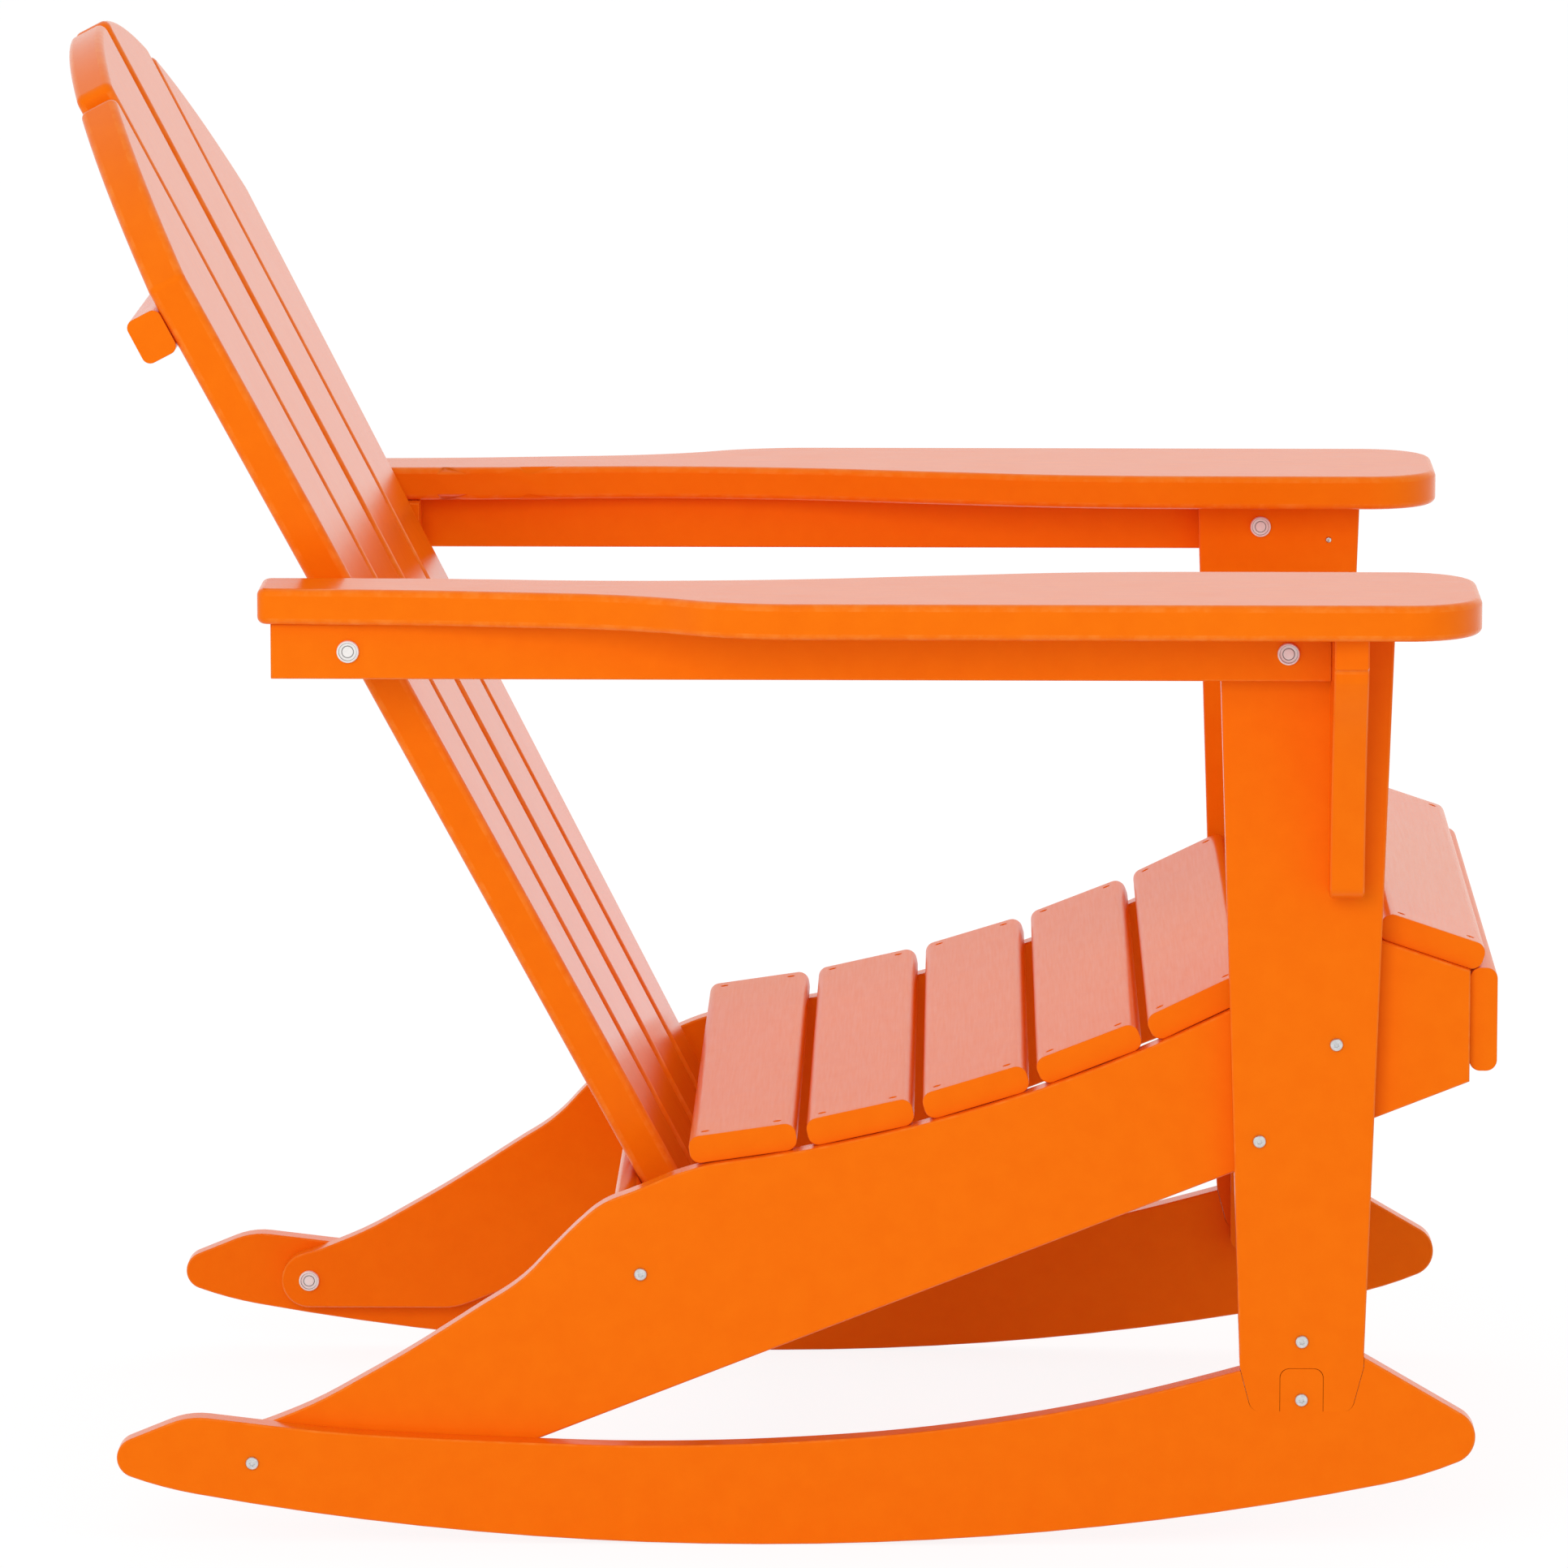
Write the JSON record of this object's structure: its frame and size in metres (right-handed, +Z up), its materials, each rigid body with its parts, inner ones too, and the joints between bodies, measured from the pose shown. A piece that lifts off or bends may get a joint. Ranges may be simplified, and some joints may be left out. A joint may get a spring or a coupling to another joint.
{
  "type": "outdoor rocking chair",
  "caption": "Outdoor rocking chair in solid plastic lumber: curved rockers, dished slat seat, reclined back of tapered slats with an arched top, and wide curved arms.",
  "frame": {"origin": "under the middle of the chair's box, level with the lowest line of the rockers, which is the floor", "axes": "+X the way the sitter faces, +Y the sitter's left, +Z up"},
  "size_m": [0.9168, 0.795, 0.9388],
  "materials": {
    "lumber": "through-coloured orange plastic lumber, satin, with a faint brushed grain",
    "bolt_steel": "stainless steel, lightly brushed",
    "cap_plastic": "off-white moulded plastic"
  },
  "bodies": {
    "root": {"left_rocker": "lumber", "right_rocker": "lumber", "left_front_post": "lumber", "right_front_post": "lumber", "left_joint_block": "lumber", "right_joint_block": "lumber", "left_seat_rail": "lumber", "right_seat_rail": "lumber", "left_arm_rail": "lumber", "right_arm_rail": "lumber", "left_arm_bracket": "lumber", "right_arm_bracket": "lumber", "left_arm": "lumber", "right_arm": "lumber", "left_back_block": "lumber", "right_back_block": "lumber", "seat_slat_1": "lumber", "seat_slat_2": "lumber", "seat_slat_3": "lumber", "seat_slat_4": "lumber", "seat_slat_5": "lumber", "seat_slat_6": "lumber", "front_seat_slat": "lumber", "front_apron": "lumber", "left_back_middle_slat": "lumber", "right_back_middle_slat": "lumber", "left_back_outer_slat": "lumber", "right_back_outer_slat": "lumber", "upper_back_rail": "lumber", "middle_back_rail": "lumber", "lower_back_rail": "lumber", "heel_bolts": "bolt_steel", "seat_rail_bolts": "bolt_steel", "post_joint_bolts": "bolt_steel", "arm_rail_bolts": "bolt_steel", "back_foot_bolts": "bolt_steel", "bolt_caps": "cap_plastic"}
  },
  "joints": []
}
